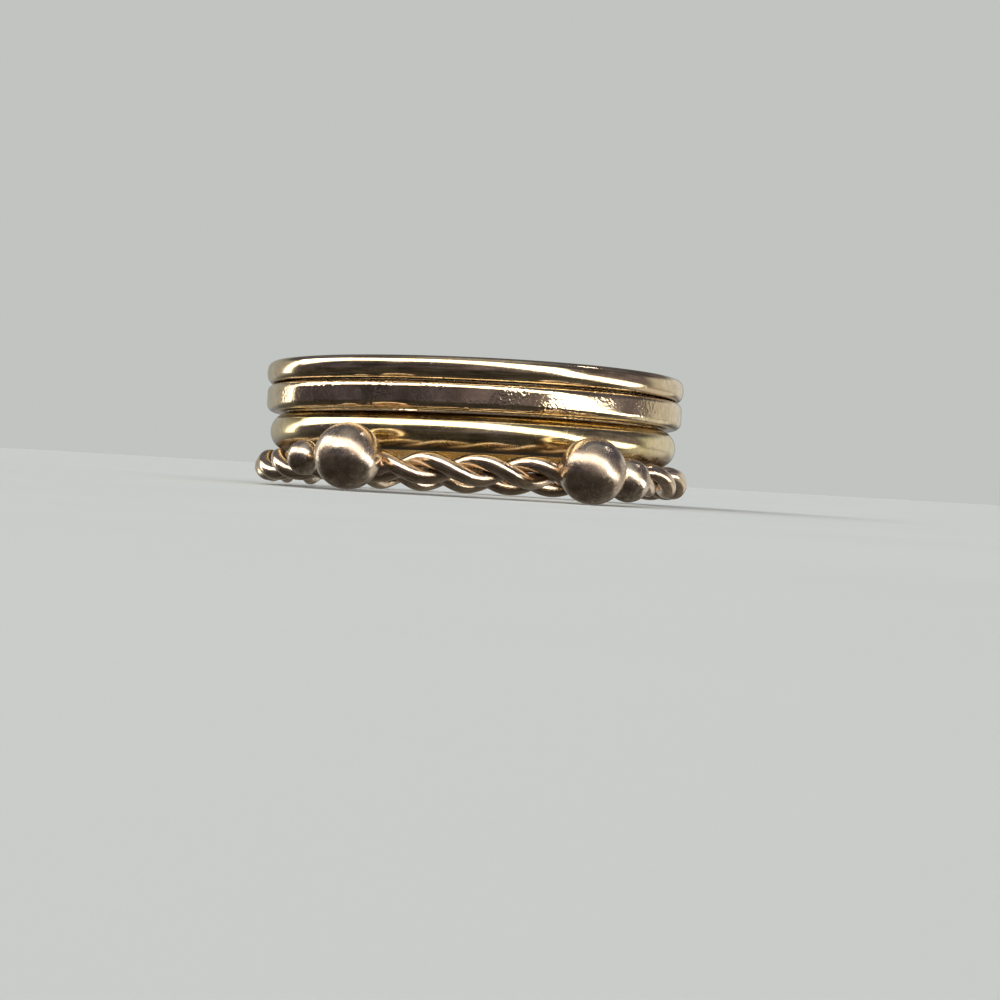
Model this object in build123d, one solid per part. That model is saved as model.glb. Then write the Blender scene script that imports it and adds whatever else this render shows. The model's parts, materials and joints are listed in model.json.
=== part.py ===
from build123d import *

import os
from math import cos, pi, radians, sin, sqrt

# A stackable ring of four bands nested on one finger: a round-edged, a flat-faced and a half-round band, and
# a band of two twisted wires that carries four soldered balls.
# +Z is the finger axis and -Y is the front. The origin is the middle of the finger hole, at mid-width of the
# half-round band. Lengths are in millimetres and angles in degrees.

# Driving dimensions
BORE_RADIUS = 9.0  # inner wall of the three plain bands
BAND_GAP = 0.03  # clearance between neighbouring bands

WIDE_WIDTH = 1.80  # along the finger
WIDE_THICKNESS = 0.90  # across the wall, at the crown
WIDE_SHOULDER = 0.20  # height of the straight sides under the crown
WIDE_INNER_ROUND = 0.10  # rounding of the two inner edges

MIDDLE_WIDTH = 1.32
MIDDLE_THICKNESS = 1.14
MIDDLE_ROUND = 0.36  # leaves a flat face between rounded edges

UPPER_WIDTH = 1.08
UPPER_THICKNESS = 1.19
UPPER_ROUND = 0.38  # leaves a narrow flat face

WIRE_DIAMETER = 0.74
STRAND_GAP = 0.02  # clearance between the two twisted wires
TWIST_BORE_RADIUS = 9.09  # the twisted band is a touch looser than the plain ones
TWIST_TURNS = 13  # full turns of each wire round the band
TWIST_START = -81.4  # where the first wire stands furthest out, measured from +X
BIARCS_PER_TURN = 4

SEAT_DEPTH = 0.30  # how far a ball sinks into the outline of the twist
SOLDER_SHARE = 0.32  # radius of the solder under a ball, as a share of the ball's diameter
BALLS = (
    # angle from the front, diameter, lift from the mid-plane of the twist
    (-27.8, 3.0, 0.34),
    (27.1, 3.0, 0.16),
    (38.8, 2.0, -0.12),
    (-43.2, 1.6, 0.25),
)

# Derived places
COIL_RADIUS = (WIRE_DIAMETER + STRAND_GAP) / 2  # from the middle of the twist to the middle of a wire
TWIST_HALF = COIL_RADIUS + WIRE_DIAMETER / 2
TWIST_RADIUS = TWIST_BORE_RADIUS + TWIST_HALF
TWIST_LEVEL = -(WIDE_WIDTH / 2 + BAND_GAP + TWIST_HALF)
MIDDLE_LEVEL = WIDE_WIDTH / 2 + BAND_GAP + MIDDLE_WIDTH / 2
UPPER_LEVEL = MIDDLE_LEVEL + MIDDLE_WIDTH / 2 + BAND_GAP + UPPER_WIDTH / 2


def rounded_band(level, width, thickness, rounding):
    """A plain band with a rounded rectangular section, its inner wall on the bore."""
    middle = Pos(BORE_RADIUS + thickness / 2, level)
    section = Plane.XZ * middle * RectangleRounded(thickness, width, rounding)
    return revolve(section, axis=Axis.Z)


def half_round_band():
    """The wide band: flat inner wall, short shoulders and one arc over the crown."""
    half = WIDE_WIDTH / 2
    inner = BORE_RADIUS
    shoulder = BORE_RADIUS + WIDE_SHOULDER
    crown = BORE_RADIUS + WIDE_THICKNESS
    outline = Wire(
        [
            Edge.make_line((inner, -half), (shoulder, -half)),
            Edge.make_three_point_arc((shoulder, -half), (crown, 0), (shoulder, half)),
            Edge.make_line((shoulder, half), (inner, half)),
            Edge.make_line((inner, half), (inner, -half)),
        ]
    )
    section = make_face(outline)
    inner_corners = section.vertices().sort_by(Axis.X)[:2]
    section = fillet(inner_corners, WIDE_INNER_ROUND)
    return revolve(Plane.XZ * section, axis=Axis.Z)


def wire_point(angle):
    """A point on the middle line of one twisted wire, with the angle round the band in radians."""
    turn = TWIST_TURNS * angle
    radius = TWIST_RADIUS + COIL_RADIUS * cos(turn)
    return Vector(radius * cos(angle), radius * sin(angle), TWIST_LEVEL - COIL_RADIUS * sin(turn))


def wire_direction(angle):
    """The unit direction of that line, by its derivative."""
    turn = TWIST_TURNS * angle
    radius = TWIST_RADIUS + COIL_RADIUS * cos(turn)
    growth = -TWIST_TURNS * COIL_RADIUS * sin(turn)
    climb = -TWIST_TURNS * COIL_RADIUS * cos(turn)
    return Vector(
        growth * cos(angle) - radius * sin(angle),
        growth * sin(angle) + radius * cos(angle),
        climb,
    ).normalized()


def biarc(start, end):
    """Two arcs that leave one point of the wire along its direction and reach the next along its own."""
    p, q = wire_point(start), wire_point(end)
    u, v = wire_direction(start), wire_direction(end)
    chord = q - p
    along = chord.dot(u + v)
    bend = 1 - u.dot(v)
    reach = (sqrt(along**2 + 2 * bend * chord.dot(chord)) - along) / (2 * bend)
    first_corner, second_corner = p + u * reach, q - v * reach
    middle = (first_corner + second_corner) / 2
    return [
        Edge.make_tangent_arc(p, u, middle),
        Edge.make_tangent_arc(middle, second_corner - first_corner, q),
    ]


def twisted_wire(start_angle):
    """One wire of the twist, closed round the band: one turn of tube, repeated and joined."""
    step = 2 * pi / TWIST_TURNS / BIARCS_PER_TURN
    arcs = [arc for i in range(BIARCS_PER_TURN) for arc in biarc(i * step, (i + 1) * step)]
    section = Plane(origin=wire_point(0), z_dir=wire_direction(0)) * Circle(WIRE_DIAMETER / 2)
    turn = sweep(section, path=Wire(arcs))
    turns = [Rot(0, 0, start_angle + 360 * i / TWIST_TURNS) * turn for i in range(TWIST_TURNS)]
    wire = turns[0].fuse(*turns[1:])
    length = TWIST_TURNS * sum(arc.length for arc in arcs)
    expected = length * pi * WIRE_DIAMETER**2 / 4
    assert abs(wire.volume - expected) < 1e-6 * expected, "the wire is not closed"
    return wire


def soldered_ball(angle, diameter, lift):
    """A ball seated on the twist, with the solder that runs between the two wires under it."""
    toward = radians(angle)
    outward = Vector(sin(toward), -cos(toward), 0)
    up = Vector(0, 0, 1)
    seat = outward * TWIST_RADIUS + up * TWIST_LEVEL
    reach = TWIST_HALF + diameter / 2 - SEAT_DEPTH
    centre = seat + outward * reach + up * lift
    root = seat - (centre - seat).normalized() * COIL_RADIUS / 2
    ball = Pos(*centre) * Sphere(diameter / 2)
    solder = Solid.make_cylinder(
        SOLDER_SHARE * diameter / 2,
        (centre - root).length,
        Plane(origin=root, z_dir=centre - root),
    )
    return [ball, solder]


def twisted_band():
    """The two wires, half a turn apart, made one solid by the soldered balls."""
    wires = [twisted_wire(TWIST_START), twisted_wire(TWIST_START + 180 / TWIST_TURNS)]
    beads = [piece for row in BALLS for piece in soldered_ball(*row)]
    band = wires[0].fuse(wires[1], *beads)
    assert len(band.solids()) == 1, "a wire is not joined to the rest"
    return band.solids()[0]


PARTS = {
    "upper_band": rounded_band(UPPER_LEVEL, UPPER_WIDTH, UPPER_THICKNESS, UPPER_ROUND),
    "middle_band": rounded_band(MIDDLE_LEVEL, MIDDLE_WIDTH, MIDDLE_THICKNESS, MIDDLE_ROUND),
    "wide_band": half_round_band(),
    "twisted_band": twisted_band(),
}

os.makedirs("parts", exist_ok=True)
for name, shape in PARTS.items():
    export_step(shape, f"parts/{name}.step")
    box = shape.bounding_box()
    print(f"{name}: {shape.volume:.2f} mm3, z {box.min.Z:.2f} to {box.max.Z:.2f}")
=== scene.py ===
"""A ring of four nested gold bands: three plain ones over a twist that carries soldered balls."""

import json
from math import asin, cos, pi, radians, sin, tan
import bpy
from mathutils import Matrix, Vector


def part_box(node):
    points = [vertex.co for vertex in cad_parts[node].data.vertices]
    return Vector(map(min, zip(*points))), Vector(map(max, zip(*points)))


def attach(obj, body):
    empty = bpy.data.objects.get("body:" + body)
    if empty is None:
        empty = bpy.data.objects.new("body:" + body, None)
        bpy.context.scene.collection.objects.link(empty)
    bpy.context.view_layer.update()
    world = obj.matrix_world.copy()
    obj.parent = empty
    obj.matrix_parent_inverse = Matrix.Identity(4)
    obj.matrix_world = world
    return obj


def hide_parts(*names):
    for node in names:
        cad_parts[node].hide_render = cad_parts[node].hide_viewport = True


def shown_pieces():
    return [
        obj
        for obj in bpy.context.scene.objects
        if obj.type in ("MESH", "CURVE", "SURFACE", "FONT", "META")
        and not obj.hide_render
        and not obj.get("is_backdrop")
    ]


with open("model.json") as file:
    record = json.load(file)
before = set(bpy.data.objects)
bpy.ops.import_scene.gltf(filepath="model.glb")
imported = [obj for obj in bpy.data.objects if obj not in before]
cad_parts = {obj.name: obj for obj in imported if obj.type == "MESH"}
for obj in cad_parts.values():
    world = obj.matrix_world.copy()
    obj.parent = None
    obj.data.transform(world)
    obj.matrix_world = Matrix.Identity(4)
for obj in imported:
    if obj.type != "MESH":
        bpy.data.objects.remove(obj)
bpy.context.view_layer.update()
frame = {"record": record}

from types import SimpleNamespace

import bmesh
import bpy
from mathutils import Matrix, Vector, noise

bl_info = {
    "name": "Nested Gold Ring",
    "version": (1, 0, 0),
    "blender": (4, 5, 0),
    "location": "3D View > Sidebar > Gold Ring",
    "description": "Builds a finger ring of four nested gold bands and a plain studio around it",
    "category": "Mesh",
}

MM = 0.001
MICROMETRE = 1e-6
BODY = "root"

# Places and sizes taken from the frame
BORE_RADIUS = frame["record"]["mounts"][0]["dims"]["r_mm"] * MM
WIDE_LOW, WIDE_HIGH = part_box("wide_band")
MIDDLE_LOW, MIDDLE_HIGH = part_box("middle_band")
UPPER_LOW, UPPER_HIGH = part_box("upper_band")
BAND_GAP = MIDDLE_LOW.z - WIDE_HIGH.z

# The soldered balls: piece, degrees from the front, diameter and lift from the twist in millimetres
BALLS = (
    ("large_ball_left", -27.8, 3.0, 0.34),
    ("large_ball_right", 27.1, 3.0, 0.16),
    ("small_ball_right", 38.8, 2.0, -0.12),
    ("small_ball_left", -43.2, 1.6, 0.25),
)
LARGE_DIAMETER = 3.0

# The row of solder beads across the seat of a ball. The reach is in millimetres for a large ball
BEADS_EACH_SIDE = 3
BEAD_REACH = 0.95
BEAD_SIZE = 0.95  # of the middle bead, as a share of the solder's radius
BEAD_TAPER = 0.30  # how much smaller the outermost beads are
BEAD_HEIGHT = 0.42  # of the middle bead over the twist's middle, as a share of the twist's half width
BEAD_SINK = 0.12  # how much lower the outermost beads sit
LEAST_BEAD = 0.55  # share of a bead's size that doesn't depend on the ball
SOLDER_GRID = 0.035  # millimetres, how finely the melted beads are joined
SOLDER_LUMPS = 0.05  # millimetres

# Steps along the outlines and cuts across each of a ball's six sides
CORNER_STEPS = 24
CROWN_STEPS = 120
FOOT_STEPS = 12
LARGE_CUTS = 47
SMALL_CUTS = 31

# How fine the unevenness of each surface is, in waves per metre
WALL_WAVES = 260.0
POLISHING_WAVES = 1500.0
WIRE_WAVES = 1300.0
BALL_WAVES = 900
FINE_BALL_WAVES = 2600
FINE_BALL_SHARE = 0.35  # depth of a ball's fine dents against its broad ones
SOLDER_WAVES = 2500
WORN_PATCH_WAVES = 600.0
MOTTLE_PATCH_WAVES = 520.0
DULL_PATCH_WAVES = 800.0
FLOOR_WAVES = 60.0

# How wear changes the metal, and how dark the painted shade between pieces is
MARKS = ("scratch", "streak", "drawn", "pit", "mottle")
SMOOTHEST = 0.75  # shares of a metal's own roughness, between which it strays
ROUGHEST = 1.35
# DIRT_ROUGHNESS goes both where the metal is tarnished and where shade is painted between pieces.
DIRT_ROUGHNESS = 0.22  # added where it is tarnished
FINE_GRAIN = 9.0  # how much finer the grains of tarnish are than its patches
# DEEP_SHADE is painted shade, not tarnish: how dark places between two pieces are, as a share of the tarnish
# colour.
DEEP_SHADE = 0.3  # brightness of the tarnish deep between two pieces

# Colours of worn metal
RUBBED_TWIST = (0.92, 0.74, 0.54)
RUBBED_BALL = (0.84, 0.72, 0.56)
TARNISHED_BALL = (0.30, 0.20, 0.14)
RUBBED_SOLDER = (0.84, 0.66, 0.50)

# The light that the metal reflects. Each strip runs along the sky between two places, given as azimuth from
# the front towards +X and elevation; then half its height and its soft edge in degrees, colour and strength
DAYLIGHT = (1.0, 0.98, 0.93)
BLUE_SKY = (0.92, 0.96, 1.0)
PALE_WALL = (0.97, 0.98, 0.95)
LAMP = (1.0, 0.95, 0.97)
STRIPS = (
    ((-127, -8), (-116, 20), 4.5, 3, DAYLIGHT, 3.0),
    ((-118, 20), (-46, 40), 12, 6, DAYLIGHT, 3.8),
    ((-54, 40), (12, 38), 14, 6, DAYLIGHT, 3.8),
    ((6, 38), (44, 17), 13, 6, DAYLIGHT, 3.8),
    ((41, 19), (58, -1), 8.5, 5, DAYLIGHT, 5.0),
    ((53, 2), (102, -14), 8, 6, DAYLIGHT, 4.0),
    ((-70, 66), (60, 66), 26, 34, BLUE_SKY, 0.40),
    ((168, 3), (240, 3), 20, 16, PALE_WALL, 0.38),
    ((110, 5), (168, 5), 15, 14, PALE_WALL, 0.64),
    ((104, -22), (150, -16), 13, 14, DAYLIGHT, 0.70),
    ((110, 57), (114, 57), 3, 2, LAMP, 22.0),
)

# The floor and the camera
FLOOR_RADIUS = 6.0  # metres
FLOOR_SIDES = 96
REST_DEPTH = 1.2 * MM  # only what lies this far under the half-round band can touch the floor
REST_UPRIGHT = 0.9  # least upright part of the normal of a side that the ring can rest on
SENSOR_WIDTH = 36.0  # millimetres
CAMERA_SHIFT = (0.026, -0.084)  # shares of the frame's width
CAMERA_RANGE = (0.1 * MM, 50.0)  # nearest and furthest that it sees


# Node helpers

def put(tree, kind, inputs=None, **options):
    """Adds a node. Each input is a plain value, or an output socket to link from."""
    node = tree.nodes.new(kind)
    for key, value in options.items():
        setattr(node, key, value)
    for key, value in (inputs or {}).items():
        if isinstance(value, bpy.types.NodeSocket):
            tree.links.new(value, node.inputs[key])
        else:
            node.inputs[key].default_value = value
    return node


def math(tree, operation, *values):
    """The result of a maths node on up to three values or sockets."""
    return put(tree, "ShaderNodeMath", dict(enumerate(values)), operation=operation).outputs[0]


def product(tree, first, second):
    """Two values multiplied."""
    return math(tree, "MULTIPLY", first, second)


def vector_math(tree, operation, *values, output=0):
    """The result of a vector maths node on values or sockets."""
    inputs = dict(enumerate(values))
    return put(tree, "ShaderNodeVectorMath", inputs, operation=operation).outputs[output]


def scaled(tree, vector, factor):
    """A vector or colour times a factor."""
    return put(tree, "ShaderNodeVectorMath", {0: vector, "Scale": factor}, operation="SCALE").outputs[0]


def combined(tree, x, y, z):
    """A vector made of three values or sockets."""
    return put(tree, "ShaderNodeCombineXYZ", {0: x, 1: y, 2: z}).outputs[0]


def spread(tree, value, low, high, to_low=0.0, to_high=1.0):
    """Maps a value from one range to another, with soft ends and clamped at both."""
    inputs = {"Value": value, "From Min": low, "From Max": high, "To Min": to_low, "To Max": to_high}
    return put(tree, "ShaderNodeMapRange", inputs, interpolation_type="SMOOTHSTEP").outputs["Result"]


def mixed_colour(tree, factor, first, second):
    """Blends two colours by a factor."""
    return put(tree, "ShaderNodeMix", {0: factor, 6: first, 7: second}, data_type="RGBA").outputs[2]


def opaque(tint):
    """A colour with full alpha, as colour sockets take it."""
    return (*tint, 1)


def rough_noise(tree, vector, scale, detail, roughness, w=None):
    """A noise texture's value, in three dimensions or with a fourth."""
    inputs = {"Vector": vector, "Scale": scale, "Detail": detail, "Roughness": roughness}
    if w is not None:
        inputs["W"] = w
    dimensions = "3D" if w is None else "4D"
    return put(tree, "ShaderNodeTexNoise", inputs, noise_dimensions=dimensions).outputs[0]


def uneven(tree, vector, scale, detail, roughness, w=None):
    """The same noise, moved so that it swings evenly about zero."""
    return math(tree, "SUBTRACT", rough_noise(tree, vector, scale, detail, roughness, w), 0.5)


def new_tree(name, kind, inputs, outputs):
    """A node group with named sockets; each input is (name, socket type, default)."""
    tree = bpy.data.node_groups.new(name, kind)
    for label, socket, default in inputs:
        made = tree.interface.new_socket(label, in_out="INPUT", socket_type=socket)
        if default is not None:
            made.default_value = default
    for label, socket in outputs:
        tree.interface.new_socket(label, in_out="OUTPUT", socket_type=socket)
    return tree, tree.nodes.new("NodeGroupInput").outputs, tree.nodes.new("NodeGroupOutput").inputs


# Geometry Nodes

def circle(tree, points, radius):
    """A circle curve in the plane across the finger."""
    return put(tree, "GeometryNodeCurvePrimitiveCircle", {"Resolution": points, "Radius": radius}).outputs[0]


def swept(tree, path, outline):
    """The mesh that an outline leaves along a path."""
    return put(tree, "GeometryNodeCurveToMesh", {0: path, "Profile Curve": outline}).outputs[0]


def noted(tree, mesh, name, value):
    """Writes a value on every point of a mesh, for its material to read."""
    inputs = {0: mesh, "Name": name, "Value": value}
    return put(tree, "GeometryNodeStoreNamedAttribute", inputs, data_type="FLOAT").outputs[0]


def shifted(tree, mesh, direction, distance):
    """Moves each point of a mesh along a direction."""
    inputs = {0: mesh, "Offset": scaled(tree, direction, distance)}
    return put(tree, "GeometryNodeSetPosition", inputs).outputs[0]


def finish_tree(tree, mesh, material, result):
    """Ends a tree: smooth shading, real instances and the piece's material."""
    smooth = put(tree, "GeometryNodeSetShadeSmooth", {0: mesh})
    real = put(tree, "GeometryNodeRealizeInstances", {0: smooth.outputs[0]})
    painted = put(tree, "GeometryNodeSetMaterial", {0: real.outputs[0], "Material": material})
    tree.links.new(painted.outputs[0], result)


def band_tree():
    """Sweeps the outline that the object's own mesh holds round the bore, and lets the wall waver a little.

    The attribute hollow holds the painted shade of each place, from 0 on the open metal to 1 deep between two
    bands.
    """
    tree, given, result = new_tree(
        "Swept Band",
        "GeometryNodeTree",
        (
            ("Outline", "NodeSocketGeometry", None),
            ("Bore Radius", "NodeSocketFloat", 0.009),
            ("Steps Round", "NodeSocketInt", 720),
            ("Outline Points", "NodeSocketInt", 108),
            ("Waver", "NodeSocketFloat", 0.0),
            ("Dimple", "NodeSocketFloat", 0.0),
            ("Neighbour Above", "NodeSocketFloat", 1.0),
            ("Neighbour Below", "NodeSocketFloat", 1.0),
            ("Shade Onset", "NodeSocketFloat", 0.62),
            ("Seed", "NodeSocketFloat", 1.0),
            ("Material", "NodeSocketMaterial", None),
        ),
        (("Band", "NodeSocketGeometry"),),
    )
    path = circle(tree, given["Steps Round"], given["Bore Radius"])
    outline = put(tree, "GeometryNodeMeshToCurve", {0: given["Outline"]}).outputs[0]
    even = put(tree, "GeometryNodeResampleCurve", {0: outline, "Count": given["Outline Points"]}).outputs[0]
    band = swept(tree, path, even)
    place = put(tree, "GeometryNodeInputPosition").outputs[0]
    normal = put(tree, "GeometryNodeInputNormal").outputs[0]
    upwards = put(tree, "ShaderNodeSeparateXYZ", {0: normal}).outputs["Z"]
    # Painted shade: darker where a wall faces the band above or the band below, scaled by the neighbour
    # factors.
    above = product(tree, spread(tree, upwards, low=0.80, high=0.99), given["Neighbour Above"])
    downwards = spread(tree, product(tree, upwards, -1.0), low=given["Shade Onset"], high=0.98)
    below = product(tree, downwards, given["Neighbour Below"])
    shaded = noted(tree, band, "hollow", math(tree, "MAXIMUM", above, below))
    slow = uneven(tree, place, WALL_WAVES, detail=1.0, roughness=0.5, w=given["Seed"])
    quick = uneven(tree, place, POLISHING_WAVES, detail=2.0, roughness=0.5, w=given["Seed"])
    offset = math(tree, "ADD", product(tree, slow, given["Waver"]), product(tree, quick, given["Dimple"]))
    moved = shifted(tree, shaded, normal, offset)
    finish_tree(tree, moved, given["Material"], result[0])
    return tree


def wire_tree():
    """Winds one wire round the middle line of the twist.

    The attribute across says where a place lies round the wire, from 1 towards the twist's middle to -1 away
    from it, and the attribute hollow the painted shade that this gives, darkest towards the twist's middle.
    """
    tree, given, result = new_tree(
        "Twisted Wire",
        "GeometryNodeTree",
        (
            ("Base", "NodeSocketGeometry", None),
            ("Twist Radius", "NodeSocketFloat", 0.00984),
            ("Coil Radius", "NodeSocketFloat", 0.00038),
            ("Wire Radius", "NodeSocketFloat", 0.00037),
            ("Level", "NodeSocketFloat", -0.00168),
            ("Start", "NodeSocketFloat", 0.0),
            ("Turns", "NodeSocketInt", 13),
            ("Steps Per Turn", "NodeSocketInt", 72),
            ("Sides", "NodeSocketInt", 36),
            ("Dent", "NodeSocketFloat", 0.0),
            ("Seed", "NodeSocketFloat", 1.0),
            ("Material", "NodeSocketMaterial", None),
        ),
        (("Wire", "NodeSocketGeometry"),),
    )
    steps = product(tree, given["Turns"], given["Steps Per Turn"])
    path = circle(tree, steps, given["Twist Radius"])
    index = put(tree, "GeometryNodeInputIndex").outputs[0]
    step = math(tree, "DIVIDE", product(tree, index, 2 * pi), steps)
    bearing = math(tree, "ADD", step, given["Start"])
    turn = product(tree, step, given["Turns"])
    swing = product(tree, math(tree, "COSINE", turn), given["Coil Radius"])
    rise = product(tree, math(tree, "SINE", turn), given["Coil Radius"])
    across = math(tree, "COSINE", bearing)
    along = math(tree, "SINE", bearing)

    def round_band(radius, height):
        """The place at this bearing round the band."""
        return combined(tree, product(tree, across, radius), product(tree, along, radius), height)

    radius = math(tree, "ADD", given["Twist Radius"], swing)
    middle = round_band(radius, math(tree, "SUBTRACT", given["Level"], rise))
    core = round_band(given["Twist Radius"], given["Level"])
    wound = put(tree, "GeometryNodeSetPosition", {0: path, "Position": middle}).outputs[0]
    kept = []
    place = put(tree, "GeometryNodeInputPosition").outputs[0]
    for source in (place, core):
        held = put(tree, "GeometryNodeCaptureAttribute", {0: wound})
        held.capture_items.new("VECTOR", "Held")
        tree.links.new(source, held.inputs[1])
        wound = held.outputs[0]
        kept.append(held.outputs[1])
    centre, core = kept
    tube = swept(tree, wound, circle(tree, given["Sides"], given["Wire Radius"]))
    outward = vector_math(tree, "NORMALIZE", vector_math(tree, "SUBTRACT", place, centre))
    inward = vector_math(tree, "NORMALIZE", vector_math(tree, "SUBTRACT", core, centre))
    facing = vector_math(tree, "DOT_PRODUCT", outward, inward, output="Value")
    # Painted shade: darker where the wire faces the twist's middle, between the two wires.
    shaded = noted(tree, tube, "hollow", spread(tree, facing, low=-0.15, high=0.75))
    marked = noted(tree, shaded, "across", facing)
    bumps = uneven(tree, place, WIRE_WAVES, detail=2.0, roughness=0.5, w=given["Seed"])
    dented = shifted(tree, marked, outward, product(tree, bumps, given["Dent"]))
    finish_tree(tree, dented, given["Material"], result[0])
    return tree


# Meshes and objects

def added(name, data):
    """A new object in the scene."""
    thing = bpy.data.objects.new(name, data)
    bpy.context.scene.collection.objects.link(thing)
    return thing


def evaluated_mesh(thing, name):
    """What an object's modifiers make of it, as a plain mesh. The object itself is removed."""
    done = thing.evaluated_get(bpy.context.evaluated_depsgraph_get())
    mesh = bpy.data.meshes.new_from_object(done)
    bpy.data.objects.remove(thing)
    mesh.name = name
    return mesh


def formed(name, form):
    """Turns a bmesh form into a mesh and frees it."""
    mesh = bpy.data.meshes.new(name)
    form.to_mesh(mesh)
    form.free()
    return mesh


def grown(name, mesh, tree, values):
    """Runs a Geometry Nodes tree on a mesh and returns the result as a plain mesh object."""
    seed = added(name + "_seed", mesh)
    modifier = seed.modifiers.new("Shape", "NODES")
    modifier.node_group = tree
    for item in tree.interface.items_tree:
        if item.in_out == "INPUT" and item.name in values:
            modifier[item.identifier] = values[item.name]
    seed.update_tag()
    return added(name, evaluated_mesh(seed, name))


def keep(piece, node):
    """Hands a finished piece to the frame: it rides on the body and stands for its CAD node."""
    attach(piece, BODY)
    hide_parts(node)


# Outlines of the plain bands, as points (out from the bore, along the finger)

def arc(centre, radius, start, end, steps):
    """Points along an arc, with angles in radians."""
    angles = (start + (end - start) * i / steps for i in range(steps + 1))
    return [(centre[0] + radius * cos(a), centre[1] + radius * sin(a)) for a in angles]


def rounded_outline(low, high, rounding, lean):
    """A rectangle with round corners that fills a band's box, its outer face crowned by the angle lean."""
    half, middle, face = (high.z - low.z) / 2, (high.z + low.z) / 2, high.x - BORE_RADIUS
    crown = (half - rounding * (1 - sin(lean))) / sin(lean)
    corner = face - crown * (1 - cos(lean)) - rounding * cos(lean)
    top, bottom = middle + half - rounding, middle - half + rounding
    return (
        arc((face - crown, middle), crown, lean, -lean, CORNER_STEPS)
        + arc((corner, bottom), rounding, -lean, -pi / 2, CORNER_STEPS)
        + arc((rounding, bottom), rounding, -pi / 2, -pi, CORNER_STEPS)
        + arc((rounding, top), rounding, pi, pi / 2, CORNER_STEPS)
        + arc((corner, top), rounding, pi / 2, lean, CORNER_STEPS)
    )


def half_round_outline(low, high, shoulder, rounding):
    """A flat inner wall, short shoulders and one arc over the crown."""
    half, rise = (high.z - low.z) / 2, high.x - BORE_RADIUS - shoulder
    radius = (half**2 + rise**2) / (2 * rise)
    reach = asin(half / radius)
    crown = arc((shoulder + rise - radius, 0), radius, reach, -reach, CROWN_STEPS)
    foot = arc((rounding, -half + rounding), rounding, -pi / 2, -pi, FOOT_STEPS)
    head = arc((rounding, half - rounding), rounding, pi, pi / 2, FOOT_STEPS)
    return crown + foot + head


def outline_mesh(name, points):
    """A closed loop of edges in the plane that the sweep reads: x outwards and y down the finger."""
    count = len(points)
    mesh = bpy.data.meshes.new(name)
    edges = [(i, (i + 1) % count) for i in range(count)]
    mesh.from_pydata([(x, -z, 0) for x, z in points], edges, [])
    return mesh


# Shader groups

def tone_and_shade_group():
    """Slow colour changes of worn gold: a paler rubbed tone and a browner tarnish over the fresh tone; also
    painted shade between pieces.
    """
    tree, given, result = new_tree(
        "Worn Tone And Painted Shade",
        "ShaderNodeTree",
        (
            ("Vector", "NodeSocketVector", None),
            ("Fresh", "NodeSocketColor", (0.8, 0.6, 0.3, 1)),
            ("Rubbed", "NodeSocketColor", (0.9, 0.75, 0.5, 1)),
            ("Tarnished", "NodeSocketColor", (0.4, 0.25, 0.12, 1)),
            ("Patch Scale", "NodeSocketFloat", 400.0),
            ("Tarnish", "NodeSocketFloat", 0.2),
            ("Hollow", "NodeSocketFloat", 0.0),
        ),
        (("Color", "NodeSocketColor"), ("TarnishAndShade", "NodeSocketFloat")),
    )
    patches = rough_noise(tree, given["Vector"], given["Patch Scale"], detail=4.0, roughness=0.6)
    fine = product(tree, given["Patch Scale"], FINE_GRAIN)
    grains = rough_noise(tree, given["Vector"], fine, detail=3.0, roughness=0.6)
    rubbed = spread(tree, patches, low=0.42, high=0.68)
    tone = mixed_colour(tree, rubbed, given["Fresh"], given["Rubbed"])
    both = math(tree, "ADD", product(tree, grains, 0.45), product(tree, patches, 0.55))
    dirt = product(tree, spread(tree, both, low=0.56, high=0.44), given["Tarnish"])
    tone = mixed_colour(tree, dirt, tone, given["Tarnished"])
    # Painted shade: places between pieces darken towards a deep brown.
    deep = scaled(tree, given["Tarnished"], DEEP_SHADE)
    tree.links.new(mixed_colour(tree, given["Hollow"], tone, deep), result["Color"])
    tree.links.new(math(tree, "MAXIMUM", dirt, given["Hollow"]), result["TarnishAndShade"])
    return tree


def scratch_group():
    """Short fine scratches in three directions: the peaks of stretched noise, in patches."""
    tree, given, result = new_tree(
        "Fine Scratches",
        "ShaderNodeTree",
        (
            ("Vector", "NodeSocketVector", None),
            ("Scale", "NodeSocketFloat", 8000.0),
        ),
        (("Height", "NodeSocketFloat"), ("Lines", "NodeSocketFloat")),
    )
    total = 0.0
    for turn in ((0.3, 0.2, 0.4), (1.1, -0.6, 2.0), (-0.8, 0.9, -1.2)):
        inputs = {"Vector": given["Vector"], "Rotation": turn}
        turned = put(tree, "ShaderNodeVectorRotate", inputs, rotation_type="EULER_XYZ").outputs[0]
        stretched = vector_math(tree, "MULTIPLY", turned, (0.05, 1.0, 1.0))
        peaks = rough_noise(tree, stretched, given["Scale"], detail=1.0, roughness=0.5)
        elsewhere = vector_math(tree, "ADD", turned, (0.01, 0.02, 0.03))
        patches = rough_noise(tree, elsewhere, WORN_PATCH_WAVES, detail=2.0, roughness=0.5)
        line = spread(tree, peaks, low=0.64, high=0.74)
        patch = spread(tree, patches, low=0.42, high=0.62)
        total = math(tree, "ADD", total, product(tree, line, patch))
    lines = math(tree, "MINIMUM", total, 1.0)
    tree.links.new(lines, result["Lines"])
    tree.links.new(product(tree, lines, -1.0), result["Height"])
    return tree


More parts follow.
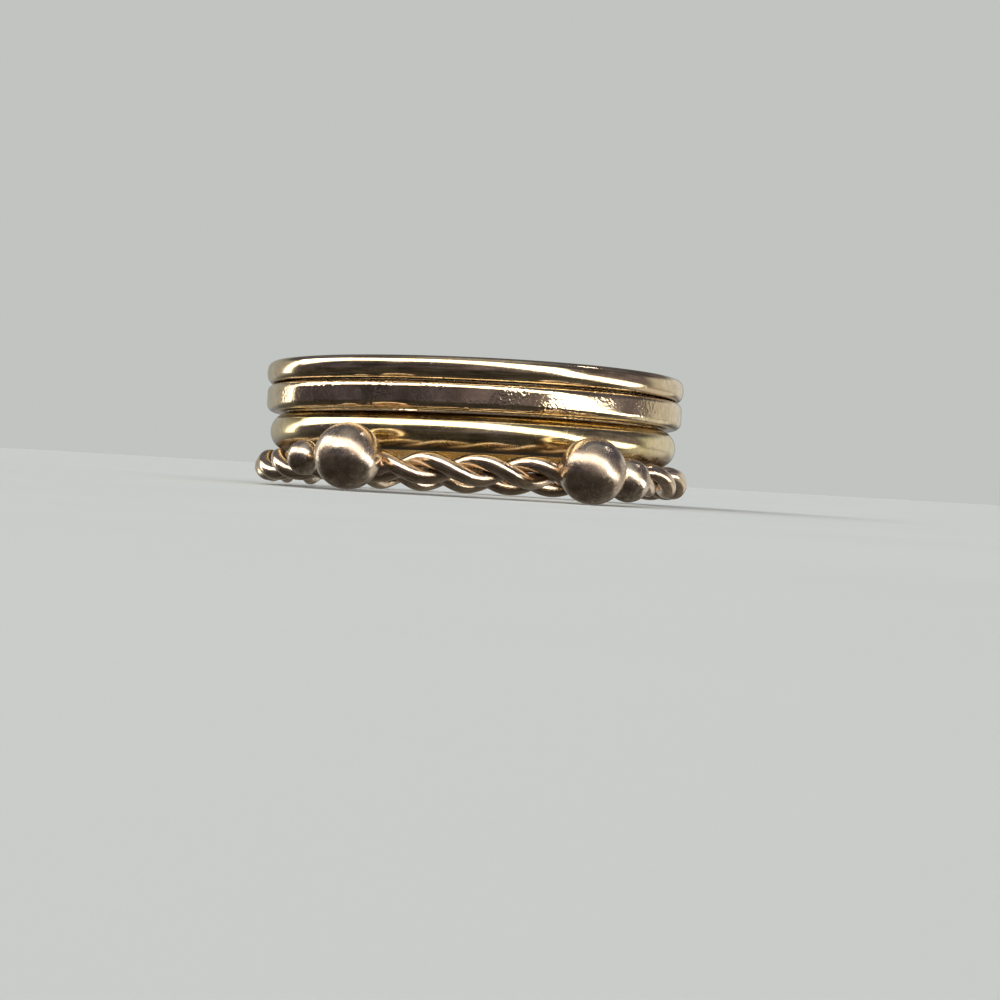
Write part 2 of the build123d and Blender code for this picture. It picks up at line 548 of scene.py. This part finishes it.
def streak_group():
    """Hair lines that run round a band, from noise that changes fast across the wall and slowly along it."""
    tree, given, result = new_tree(
        "Polishing Lines",
        "ShaderNodeTree",
        (
            ("Vector", "NodeSocketVector", None),
            ("Across", "NodeSocketFloat", 9000.0),
            ("Along", "NodeSocketFloat", 500.0),
        ),
        (("Height", "NodeSocketFloat"),),
    )
    parts = put(tree, "ShaderNodeSeparateXYZ", {0: given["Vector"]}).outputs
    out = vector_math(tree, "LENGTH", combined(tree, parts["X"], parts["Y"], 0.0), output="Value")
    slow = combined(
        tree,
        product(tree, parts["X"], given["Along"]),
        product(tree, parts["Y"], given["Along"]),
        product(tree, parts["Z"], given["Across"]),
    )
    w = product(tree, out, given["Across"])
    tree.links.new(uneven(tree, slow, scale=1.0, detail=3.0, roughness=0.65, w=w), result["Height"])
    return tree


def drawn_group():
    """Lines left along a drawn wire, from noise that changes fast across the wire and slowly along it."""
    tree, given, result = new_tree(
        "Drawn Lines",
        "ShaderNodeTree",
        (
            ("Vector", "NodeSocketVector", None),
            ("Across", "NodeSocketFloat", 0.0),
            ("Lines", "NodeSocketFloat", 5.0),
            ("Along", "NodeSocketFloat", 500.0),
        ),
        (("Height", "NodeSocketFloat"),),
    )
    slow = scaled(tree, given["Vector"], given["Along"])
    w = product(tree, given["Across"], given["Lines"])
    tree.links.new(uneven(tree, slow, scale=1.0, detail=3.0, roughness=0.65, w=w), result["Height"])
    return tree


def pit_group():
    """Small pits and specks, scattered in patches."""
    tree, given, result = new_tree(
        "Pits",
        "ShaderNodeTree",
        (
            ("Vector", "NodeSocketVector", None),
            ("Scale", "NodeSocketFloat", 7000.0),
            ("Share", "NodeSocketFloat", 0.4),
        ),
        (("Height", "NodeSocketFloat"),),
    )
    cells = put(tree, "ShaderNodeTexVoronoi", {"Vector": given["Vector"], "Scale": given["Scale"]})
    dot = spread(tree, cells.outputs["Distance"], low=0.10, high=0.34, to_low=1.0, to_high=0.0)
    chance = put(tree, "ShaderNodeSeparateColor", {0: cells.outputs["Color"]}).outputs[0]
    chosen = math(tree, "LESS_THAN", chance, given["Share"])
    patches = rough_noise(tree, given["Vector"], WORN_PATCH_WAVES, detail=2.0, roughness=0.6)
    pits = product(tree, product(tree, dot, chosen), spread(tree, patches, low=0.44, high=0.62))
    tree.links.new(product(tree, pits, -1.0), result["Height"])
    return tree


def mottle_group():
    """The uneven skin of a hard-worn face, stronger in some places than in others."""
    tree, given, result = new_tree(
        "Mottle",
        "ShaderNodeTree",
        (
            ("Vector", "NodeSocketVector", None),
            ("Scale", "NodeSocketFloat", 6500.0),
        ),
        (("Height", "NodeSocketFloat"),),
    )
    skin = uneven(tree, given["Vector"], given["Scale"], detail=1.4, roughness=0.5)
    patches = rough_noise(tree, given["Vector"], MOTTLE_PATCH_WAVES, detail=2.0, roughness=0.5)
    share = spread(tree, patches, low=0.42, high=0.58, to_low=0.12, to_high=1.0)
    tree.links.new(product(tree, skin, share), result["Height"])
    return tree


GROUP_MAKERS = {
    "tone": tone_and_shade_group,
    "scratch": scratch_group,
    "streak": streak_group,
    "drawn": drawn_group,
    "pit": pit_group,
    "mottle": mottle_group,
}
GROUPS = {}


def use(tree, name, **inputs):
    """Places a shared shader group, made on first use, and returns its outputs."""
    if name not in GROUPS:
        GROUPS[name] = GROUP_MAKERS[name]()
    given = {key.replace("_", " "): value for key, value in inputs.items()}
    return put(tree, "ShaderNodeGroup", given, node_tree=GROUPS[name]).outputs


def gold(name, fresh, rubbed, tarnished, roughness, **finish):
    """A worn gold alloy.

    finish may hold tarnish, patch (scale of the tarnished patches), hollow (strength of the painted shade
    between pieces), satin (roughness of scratched places) and the depths of the MARKS in micrometres.
    Scratches are always there.
    """
    material = bpy.data.materials.new(name)
    material.use_nodes = True
    tree = material.node_tree
    shader = tree.nodes["Principled BSDF"]
    place = put(tree, "ShaderNodeTexCoord").outputs["Object"]
    # The attribute hollow holds the painted shade between pieces, which the tone group mixes into the colour.
    hidden = put(tree, "ShaderNodeAttribute", attribute_name="hollow").outputs["Fac"]
    tone = use(
        tree,
        "tone",
        Vector=place,
        Fresh=opaque(fresh),
        Rubbed=opaque(rubbed),
        Tarnished=opaque(tarnished),
        Patch_Scale=finish.get("patch", 400.0),
        Tarnish=finish["tarnish"],
        Hollow=product(tree, hidden, finish.get("hollow", 0.0)),
    )
    marks = {}
    height = 0.0
    for mark in MARKS:
        if mark in finish:
            inputs = {"Vector": place}
            if mark == "drawn":
                inputs["Across"] = put(tree, "ShaderNodeAttribute", attribute_name="across").outputs["Fac"]
            marks[mark] = use(tree, mark, **inputs)
            height = math(tree, "MULTIPLY_ADD", marks[mark]["Height"], finish[mark] * MICROMETRE, height)
    bump = put(tree, "ShaderNodeBump", {"Height": height, "Distance": 1.0, "Strength": 1.0})
    cloud = rough_noise(tree, place, DULL_PATCH_WAVES, detail=3.0, roughness=0.6)
    smoothest, roughest = roughness * SMOOTHEST, roughness * ROUGHEST
    rough = spread(tree, cloud, low=0.3, high=0.7, to_low=smoothest, to_high=roughest)
    rough = math(tree, "MULTIPLY_ADD", marks["scratch"]["Lines"], finish.get("satin", 0.10), rough)
    rough = math(tree, "MULTIPLY_ADD", tone["TarnishAndShade"], DIRT_ROUGHNESS, rough)
    tree.links.new(tone["Color"], shader.inputs["Base Color"])
    tree.links.new(rough, shader.inputs["Roughness"])
    tree.links.new(bump.outputs[0], shader.inputs["Normal"])
    shader.inputs["Metallic"].default_value = 1.0
    return material


# Settings

def size(label, text, millimetres):
    """A length that a user may change."""
    return bpy.props.FloatProperty(
        name=label, description=text, default=millimetres * MM, subtype="DISTANCE", unit="LENGTH", precision=5
    )


def angle(label, text, degrees):
    """An angle that a user may change."""
    return bpy.props.FloatProperty(name=label, description=text, default=radians(degrees), subtype="ANGLE")


def count(label, text, number, least):
    """A whole number that a user may change."""
    return bpy.props.IntProperty(name=label, description=text, default=number, min=least)


def colour(label, text, value):
    """A colour that a user may change."""
    return bpy.props.FloatVectorProperty(
        name=label, description=text, default=value, size=3, subtype="COLOR", min=0, max=1
    )


class BandSettings(bpy.types.PropertyGroup):
    """Sizes of the three plain bands"""

    round_edge: size("Upper Band Edge", "Rounding of the upper band's section", 0.38)
    round_lean: angle("Upper Band Lean", "How far the upper band's face turns by its edges", 15.0)
    flat_lean: angle("Flat Band Lean", "How far the flat face turns by its edges", 1.0)
    flat_edge: size("Flat Band Edge", "Rounding beside the flat face", 0.36)
    shoulder: size("Half-Round Shoulder", "Height of the straight sides under the crown", 0.20)
    inner_edge: size("Inner Edge", "Rounding of the half-round band's inner edges", 0.10)
    waver: size("Waver", "How far a hand-finished wall strays over a few millimetres", 0.014)
    dimple: size("Dimple", "Depth of the small unevenness left by polishing", 0.0016)
    flat_dimple: size("Flat Band Dimple", "The same on the flat face, which is less even", 0.003)
    steps: count("Steps Round", "Faces round each band", 720, 90)
    points: count("Outline Points", "Faces across the wall", 108, 24)


class TwistSettings(bpy.types.PropertyGroup):
    """Sizes of the twisted wires"""

    wire: size("Wire Diameter", "Diameter of each of the two wires", 0.74)
    gap: size("Strand Gap", "Clearance between the two wires", 0.02)
    bore: size("Twist Bore Radius", "Inner radius of the twisted band", 9.09)
    turns: count("Turns", "Full turns of each wire round the band", 13, 1)
    start: angle("Start", "Where the first wire stands furthest out", -81.4)
    dent: size("Dent", "Depth of the small dents along the wires", 0.006)


class BallSettings(bpy.types.PropertyGroup):
    """Sizes of the soldered balls"""

    seat: size("Seat Depth", "How far a ball sinks into the outline of the twist", 0.30)
    dent: size("Dent", "How far a worn ball strays from a true sphere", 0.012)
    solder: size("Solder", "Radius of the solder between a ball and the wires", 0.60)


class FinishSettings(bpy.types.PropertyGroup):
    """Colours of the golds"""

    yellow: colour("Yellow Gold", "Fresh metal of the half-round band", (0.88, 0.72, 0.37))
    straw: colour("Straw Gold", "Paler metal of the two upper bands", (0.88, 0.69, 0.43))
    pale: colour("Rubbed Gold", "Metal of the plain bands where it is rubbed bright", (0.92, 0.76, 0.50))
    rose: colour("Twist Gold", "Redder metal of the twisted wires", (0.86, 0.665, 0.47))
    ball: colour("Ball Gold", "Worn metal of the balls", (0.71, 0.57, 0.43))
    solder: colour("Solder", "Pinkish solder at the seats", (0.72, 0.50, 0.38))
    # Darkened by DEEP_SHADE, this brown is also the painted shade deep between the pieces.
    brown: colour("Tarnish", "Brown tarnish in the hollows", (0.24, 0.14, 0.075))


class StageSettings(bpy.types.PropertyGroup):
    """The plain studio"""

    floor: colour("Floor", "Pale floor", (0.62, 0.645, 0.642))
    backdrop: colour("Backdrop", "What lies behind the floor", (0.533, 0.552, 0.527))
    distance: size("Camera Distance", "From the finger axis to the camera", 107)
    camera_drop: size("Camera Drop", "How far the camera stands below the underside of the twist", 1.9)
    lens: bpy.props.FloatProperty(
        name="Lens", description="Focal length", default=78.5, subtype="DISTANCE_CAMERA"
    )
    roll: angle("Roll", "Camera roll", 2.7)
    left_room: colour("Left Room", "The dim room near the horizon on the left", (0.066, 0.059, 0.080))
    right_room: colour("Right Room", "The dim room near the horizon on the right", (0.130, 0.113, 0.135))
    high_room: colour("High Room", "The dim room overhead", (0.095, 0.098, 0.13))
    near_table: colour("Near Table", "What the metal mirrors from below in front", (0.041, 0.037, 0.034))
    far_table: colour("Far Table", "What the metal mirrors from below behind", (0.11, 0.105, 0.095))
    light: bpy.props.FloatProperty(
        name="Light", description="Strength of the light that falls on the ring", default=1.0, min=0
    )


class RingSettings(bpy.types.PropertyGroup):
    """All settings of the ring"""

    bands: bpy.props.PointerProperty(type=BandSettings)
    twist: bpy.props.PointerProperty(type=TwistSettings)
    balls: bpy.props.PointerProperty(type=BallSettings)
    finish: bpy.props.PointerProperty(type=FinishSettings)
    stage: bpy.props.PointerProperty(type=StageSettings)


def settings():
    """The ring's settings in this scene."""
    return bpy.context.scene.gold_ring


# The plain bands

def plain_band(tree, name, node, outline, **values):
    """Sweeps one plain band and hands it over. The values are the tree's inputs, with _ for each space."""
    given = settings().bands
    inputs = {
        "Bore Radius": BORE_RADIUS,
        "Steps Round": given.steps,
        "Outline Points": given.points,
        "Waver": given.waver,
    }
    inputs.update((key.replace("_", " "), value) for key, value in values.items())
    keep(grown(name, outline_mesh(name + "_outline", outline), tree, inputs), node)


class GOLDRING_OT_plain_bands(bpy.types.Operator):
    """Add the round-edged, flat-faced and half-round bands"""

    bl_idname = "gold_ring.plain_bands"
    bl_label = "Plain Bands"

    def execute(self, context):
        given, finish = settings().bands, settings().finish
        tree = band_tree()
        straw = (finish.straw, finish.pale, finish.brown)
        yellow = (finish.yellow, finish.pale, finish.brown)
        # hollow sets how strong the painted shade between the bands is; Neighbour Above and Shade Onset shape
        # where it falls.
        upper_gold = gold("Upper Band Gold", *straw, roughness=0.09, tarnish=0.22, hollow=0.65,
                          scratch=0.35, streak=1.0, pit=0.4, mottle=1.5)
        flat_gold = gold("Flat Band Gold", *straw, roughness=0.06, tarnish=0.22, hollow=0.6,
                         scratch=0.4, streak=1.2, pit=1.3, mottle=24.0)
        half_round_gold = gold("Half-Round Band Gold", *yellow, roughness=0.12, tarnish=0.2, hollow=0.9,
                               scratch=0.35, streak=1.0, pit=0.7, mottle=3.0)
        plain_band(
            tree,
            "upper_ring",
            "upper_band",
            rounded_outline(UPPER_LOW, UPPER_HIGH, given.round_edge, given.round_lean),
            Dimple=given.dimple,
            Neighbour_Above=0.0,
            Seed=3.0,
            Material=upper_gold,
        )
        plain_band(
            tree,
            "flat_ring",
            "middle_band",
            rounded_outline(MIDDLE_LOW, MIDDLE_HIGH, given.flat_edge, given.flat_lean),
            Dimple=given.flat_dimple,
            Seed=11.0,
            Material=flat_gold,
        )
        plain_band(
            tree,
            "half_round_ring",
            "wide_band",
            half_round_outline(WIDE_LOW, WIDE_HIGH, given.shoulder, given.inner_edge),
            Dimple=given.dimple,
            Neighbour_Above=0.2,
            Shade_Onset=0.12,
            Seed=23.0,
            Material=half_round_gold,
        )
        return {"FINISHED"}


# The twisted band

def twist_sizes():
    """The twist's coil radius, half width, radius round the finger and level along it."""
    twist = settings().twist
    coil = (twist.wire + twist.gap) / 2
    half = coil + twist.wire / 2
    return SimpleNamespace(coil=coil, half=half, radius=twist.bore + half, level=WIDE_LOW.z - BAND_GAP - half)


class GOLDRING_OT_twisted_wires(bpy.types.Operator):
    """Add the two wires of the twisted band"""

    bl_idname = "gold_ring.twisted_wires"
    bl_label = "Twisted Wires"

    def execute(self, context):
        twist, finish, sizes = settings().twist, settings().finish, twist_sizes()
        tree = wire_tree()
        # hollow sets how strong the painted shade between the two wires is.
        material = gold("Twist Gold", finish.rose, RUBBED_TWIST, finish.brown, roughness=0.17, tarnish=0.12,
                        hollow=0.35, scratch=0.4, drawn=9.0, pit=0.5, mottle=0.8)
        for index, name in enumerate(("twist_wire_first", "twist_wire_second")):
            inputs = {
                "Twist Radius": sizes.radius,
                "Coil Radius": sizes.coil,
                "Wire Radius": twist.wire / 2,
                "Level": sizes.level,
                "Start": twist.start + index * pi / twist.turns,
                "Turns": twist.turns,
                "Dent": twist.dent,
                "Seed": 5.0 + index,
                "Material": material,
            }
            base = bpy.data.meshes.new(name + "_base")
            keep(grown(name, base, tree, inputs), "twisted_band")
        return {"FINISHED"}


def ball_place(turn, diameter, lift):
    """Where a ball sits: the twist's middle behind it, the way outwards and the ball's centre, in metres."""
    sizes = twist_sizes()
    toward = radians(turn)
    outward = Vector((sin(toward), -cos(toward), 0))
    seat = outward * sizes.radius + Vector((0, 0, sizes.level))
    reach = sizes.half + diameter * MM / 2 - settings().balls.seat
    return seat, outward, seat + outward * reach + Vector((0, 0, lift * MM))


def worn_ball(name, centre, radius, dent, cuts):
    """A ball with even square faces that strays a little from a true sphere."""
    form = bmesh.new()
    bmesh.ops.create_cube(form, size=2)
    bmesh.ops.subdivide_edges(form, edges=form.edges[:], cuts=cuts, use_grid_fill=True)
    for vert in form.verts:
        way = Vector(tan(pi / 4 * c) for c in vert.co).normalized()
        spot = centre + way * radius
        stray = noise.noise(spot * BALL_WAVES) + FINE_BALL_SHARE * noise.noise(spot * FINE_BALL_WAVES)
        vert.co = centre + way * (radius + dent / 2 * stray)
    bmesh.ops.recalc_face_normals(form, faces=form.faces[:])
    mesh = formed(name, form)
    mesh.shade_smooth()
    return added(name, mesh)


class GOLDRING_OT_soldered_balls(bpy.types.Operator):
    """Add the four balls of the twisted band"""

    bl_idname = "gold_ring.soldered_balls"
    bl_label = "Soldered Balls"

    def execute(self, context):
        balls, finish = settings().balls, settings().finish
        material = gold("Ball Gold", finish.ball, RUBBED_BALL, TARNISHED_BALL, roughness=0.185, tarnish=0.5,
                        patch=900.0, scratch=2.0, pit=1.2, mottle=9.0, satin=0.16)
        for name, turn, diameter, lift in BALLS:
            centre = ball_place(turn, diameter, lift)[-1]
            cuts = LARGE_CUTS if diameter == LARGE_DIAMETER else SMALL_CUTS
            piece = worn_ball(name, centre, diameter * MM / 2, balls.dent, cuts)
            piece.data.materials.append(material)
            keep(piece, "twisted_band")
        return {"FINISHED"}


def solder_beads(name, turn, diameter, lift):
    """A row of overlapping solder beads across the seat of a ball."""
    seat, outward, centre = ball_place(turn, diameter, lift)
    half, solder = twist_sizes().half, settings().balls.solder
    side = Vector((-outward.y, outward.x, 0))
    toward = (centre - seat).normalized()
    share = diameter / LARGE_DIAMETER
    form = bmesh.new()
    for step in range(-BEADS_EACH_SIDE, BEADS_EACH_SIDE + 1):
        along = step / BEADS_EACH_SIDE
        bead = solder * (BEAD_SIZE - BEAD_TAPER * along**2) * (LEAST_BEAD + (1 - LEAST_BEAD) * share)
        sideways = side * (along * BEAD_REACH * MM * share)
        spot = seat + sideways + toward * half * (BEAD_HEIGHT - BEAD_SINK * along**2)
        place = Matrix.Translation(spot) @ Matrix.Scale(bead, 4)
        bmesh.ops.create_icosphere(form, subdivisions=3, radius=1.0, matrix=place)
    return added(name + "_beads", formed(name + "_beads", form))


def melted(name, beads):
    """The beads run into one lump with an uneven skin."""
    joined = beads.modifiers.new("Join", "REMESH")
    joined.mode = "VOXEL"
    joined.voxel_size = SOLDER_GRID * MM
    eased = beads.modifiers.new("Ease", "SMOOTH")
    eased.factor = 0.5
    eased.iterations = 12
    mesh = evaluated_mesh(beads, name)
    for vert in mesh.vertices:
        vert.co += vert.normal * SOLDER_LUMPS * MM * noise.noise(vert.co * SOLDER_WAVES)
    mesh.shade_smooth()
    return added(name, mesh)


class GOLDRING_OT_solder(bpy.types.Operator):
    """Add the solder under each ball"""

    bl_idname = "gold_ring.solder"
    bl_label = "Solder"

    def execute(self, context):
        finish = settings().finish
        material = gold("Solder", finish.solder, RUBBED_SOLDER, finish.brown, roughness=0.26, tarnish=0.4,
                        patch=1500.0, scratch=0.5, pit=1.2, mottle=3.0)
        for ball, turn, diameter, lift in BALLS:
            name = ball.replace("ball", "solder")
            piece = melted(name, solder_beads(name, turn, diameter, lift))
            piece.data.materials.append(material)
            keep(piece, "twisted_band")
        return {"FINISHED"}


# The studio

def resting_plane():
    """The plane that the ring rests on, as its height on the finger axis and its normal.

    It is the lowest side of the ring's hull that the finger axis passes through.
    """
    form = bmesh.new()
    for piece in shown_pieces():
        for vert in piece.data.vertices:
            if vert.co.z < WIDE_LOW.z - REST_DEPTH:
                form.verts.new(vert.co)
    bmesh.ops.convex_hull(form, input=form.verts[:])
    best = None
    for face in form.faces:
        if abs(face.normal.z) < REST_UPRIGHT:
            continue
        corners = [v.co for v in face.verts]
        sides = [(b - a).cross(-a).z for a, b in zip(corners, corners[1:] + corners[:1])]
        level = face.calc_center_median().dot(face.normal) / face.normal.z
        if (min(sides) > 0 or max(sides) < 0) and (best is None or level < best[0]):
            normal = face.normal if face.normal.z > 0 else -face.normal
            best = (level, normal.copy())
    form.free()
    return best


def sky(azimuth, elevation):
    """A unit vector from an azimuth, counted from the front towards +X, and an elevation, in degrees."""
    a, e = radians(azimuth), radians(elevation)
    return Vector((sin(a) * cos(e), -cos(a) * cos(e), sin(e)))


def strip_group():
    """A soft-edged strip of light along the sky, given by its middle and the ways along and across it."""
    tree, given, result = new_tree(
        "Light Strip",
        "ShaderNodeTree",
        (
            ("Direction", "NodeSocketVector", None),
            ("Middle", "NodeSocketVector", (0.0, -1.0, 0.0)),
            ("Along", "NodeSocketVector", (1.0, 0.0, 0.0)),
            ("Across", "NodeSocketVector", (0.0, 0.0, 1.0)),
            ("Half Length", "NodeSocketFloat", 0.5),
            ("Half Height", "NodeSocketFloat", 0.2),
            ("Edge", "NodeSocketFloat", 0.05),
        ),
        (("Mask", "NodeSocketFloat"),),
    )
    middle, along, across = (
        vector_math(tree, "DOT_PRODUCT", given["Direction"], given[key], output="Value")
        for key in ("Middle", "Along", "Across")
    )
    turned = math(tree, "ABSOLUTE", math(tree, "ARCTAN2", along, middle))
    raised = math(tree, "ABSOLUTE", math(tree, "ARCSINE", across))
    mask = 1.0
    for apart, half in ((turned, given["Half Length"]), (raised, given["Half Height"])):
        past = math(tree, "DIVIDE", math(tree, "SUBTRACT", apart, half), given["Edge"])
        mask = product(tree, spread(tree, past, low=-0.5, high=0.5, to_low=1.0, to_high=0.0), mask)
    tree.links.new(mask, result["Mask"])
    return tree


def dim_room(tree, stage, way):
    """The colours round the strips: a room, cluttered unevenly, over a table."""
    sides = put(tree, "ShaderNodeSeparateXYZ", {0: way}).outputs
    rightwards = spread(tree, sides["X"], low=-0.7, high=0.7)
    low = mixed_colour(tree, rightwards, opaque(stage.left_room), opaque(stage.right_room))
    behind = spread(tree, math(tree, "MULTIPLY_ADD", sides["X"], 0.7, sides["Y"]), low=-0.7, high=0.9)
    table = mixed_colour(tree, behind, opaque(stage.near_table), opaque(stage.far_table))
    low = mixed_colour(tree, spread(tree, sides["Z"], low=-0.12, high=0.0), table, low)
    room = mixed_colour(tree, spread(tree, sides["Z"], low=0.1, high=0.9), low, opaque(stage.high_room))
    clutter = rough_noise(tree, way, scale=3.4, detail=4.0, roughness=0.65)
    return scaled(tree, room, spread(tree, clutter, low=0.3, high=0.7, to_low=0.35, to_high=1.75))


def light_world(stage):
    """Soft strips of light over a dim room. The camera itself sees a plain pale backdrop."""
    world = bpy.data.worlds.new("Studio")
    bpy.context.scene.world = world
    world.use_nodes = True
    tree = world.node_tree
    tree.nodes.clear()
    way = put(tree, "ShaderNodeTexCoord").outputs["Generated"]
    room = dim_room(tree, stage, way)
    group = strip_group()
    for start, end, high, edge, tint, strength in STRIPS:
        first, last = sky(*start), sky(*end)
        middle = (first + last).normalized()
        across = first.cross(last).normalized()
        inputs = {
            "Direction": way,
            "Middle": middle,
            "Along": across.cross(middle),
            "Across": across,
            "Half Length": first.angle(last) / 2,
            "Half Height": radians(high),
            "Edge": radians(edge),
        }
        strip = put(tree, "ShaderNodeGroup", inputs, node_tree=group)
        glow = scaled(tree, Vector(tint) * strength, strip.outputs[0])
        room = vector_math(tree, "MAXIMUM", room, glow)
    lights = put(tree, "ShaderNodeBackground", {"Color": room, "Strength": stage.light})
    seen = put(tree, "ShaderNodeBackground", {"Color": opaque(stage.backdrop), "Strength": 1.0})
    camera = put(tree, "ShaderNodeLightPath").outputs["Is Camera Ray"]
    both = put(tree, "ShaderNodeMixShader", {0: camera, 1: lights.outputs[0], 2: seen.outputs[0]})
    put(tree, "ShaderNodeOutputWorld", {"Surface": both.outputs[0]})


def floor_material(stage):
    """Matt pale paper. The metal looks through it to the table that the world holds."""
    material = bpy.data.materials.new("Pale Floor")
    material.use_nodes = True
    tree = material.node_tree
    tree.nodes.clear()
    place = put(tree, "ShaderNodeTexCoord").outputs["Object"]
    grain = rough_noise(tree, place, FLOOR_WAVES, detail=3.0, roughness=0.5)
    shade = spread(tree, grain, low=0.2, high=0.8, to_low=0.985, to_high=1.015)
    matt = put(tree, "ShaderNodeBsdfDiffuse", {"Color": scaled(tree, tuple(stage.floor), shade)})
    clear = put(tree, "ShaderNodeBsdfTransparent")
    mirrored = put(tree, "ShaderNodeLightPath").outputs["Is Glossy Ray"]
    both = put(tree, "ShaderNodeMixShader", {0: mirrored, 1: matt.outputs[0], 2: clear.outputs[0]})
    put(tree, "ShaderNodeOutputMaterial", {"Surface": both.outputs[0]})
    return material


def pale_floor(stage):
    """A wide round floor that leans to touch the ring where it rests."""
    level, normal = resting_plane()
    form = bmesh.new()
    bmesh.ops.create_circle(form, cap_ends=True, segments=FLOOR_SIDES, radius=FLOOR_RADIUS)
    floor = added("floor", formed("floor", form))
    lean = Vector((0, 0, 1)).rotation_difference(normal).to_matrix().to_4x4()
    floor.matrix_world = Matrix.Translation((0, 0, level)) @ lean
    floor.data.materials.append(floor_material(stage))
    floor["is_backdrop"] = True


def front_camera(stage):
    """A camera in front of the ring, just above the floor."""
    sizes = twist_sizes()
    data = bpy.data.cameras.new("Camera")
    camera = added("Camera", data)
    camera.location = (0, -stage.distance, sizes.level - sizes.half - stage.camera_drop)
    aim = Vector((0, 0, (UPPER_HIGH.z + WIDE_LOW.z) / 2)) - camera.location
    camera.rotation_mode = "QUATERNION"
    turn = aim.to_track_quat("-Z", "Y").to_matrix() @ Matrix.Rotation(stage.roll, 3, "Z")
    camera.rotation_quaternion = turn.to_quaternion()
    data.sensor_width = SENSOR_WIDTH
    data.lens = stage.lens
    data.shift_x, data.shift_y = CAMERA_SHIFT
    data.clip_start, data.clip_end = CAMERA_RANGE
    bpy.context.scene.camera = camera


class GOLDRING_OT_stage(bpy.types.Operator):
    """Add the floor, the light and the camera"""

    bl_idname = "gold_ring.stage"
    bl_label = "Stage"

    def execute(self, context):
        stage = settings().stage
        pale_floor(stage)
        light_world(stage)
        front_camera(stage)
        context.scene.view_settings.view_transform = "Standard"
        return {"FINISHED"}


class GOLDRING_PT_panel(bpy.types.Panel):
    """Lists the ring's parts and settings"""

    bl_label = "Gold Ring"
    bl_idname = "GOLDRING_PT_panel"
    bl_space_type = "VIEW_3D"
    bl_region_type = "UI"
    bl_category = "Gold Ring"

    def draw(self, context):
        for operator in OPERATORS:
            self.layout.operator(operator.bl_idname)
        ring = context.scene.gold_ring
        for group in (ring.bands, ring.twist, ring.balls, ring.finish, ring.stage):
            box = self.layout.box()
            for key in group.__annotations__:
                box.prop(group, key)


OPERATORS = (
    GOLDRING_OT_plain_bands,
    GOLDRING_OT_twisted_wires,
    GOLDRING_OT_soldered_balls,
    GOLDRING_OT_solder,
    GOLDRING_OT_stage,
)
CLASSES = (
    BandSettings,
    TwistSettings,
    BallSettings,
    FinishSettings,
    StageSettings,
    RingSettings,
    *OPERATORS,
    GOLDRING_PT_panel,
)


def register():
    """Makes the ring's operators, panel and settings known."""
    for item in CLASSES:
        bpy.utils.register_class(item)
    bpy.types.Scene.gold_ring = bpy.props.PointerProperty(type=RingSettings)


def unregister():
    """Takes them away again."""
    del bpy.types.Scene.gold_ring
    for item in reversed(CLASSES):
        bpy.utils.unregister_class(item)


def main():
    """Builds the ring and its stage."""
    register()
    bpy.ops.gold_ring.plain_bands()
    bpy.ops.gold_ring.twisted_wires()
    bpy.ops.gold_ring.soldered_balls()
    bpy.ops.gold_ring.solder()
    bpy.ops.gold_ring.stage()


if __name__ == "__main__":
    main()
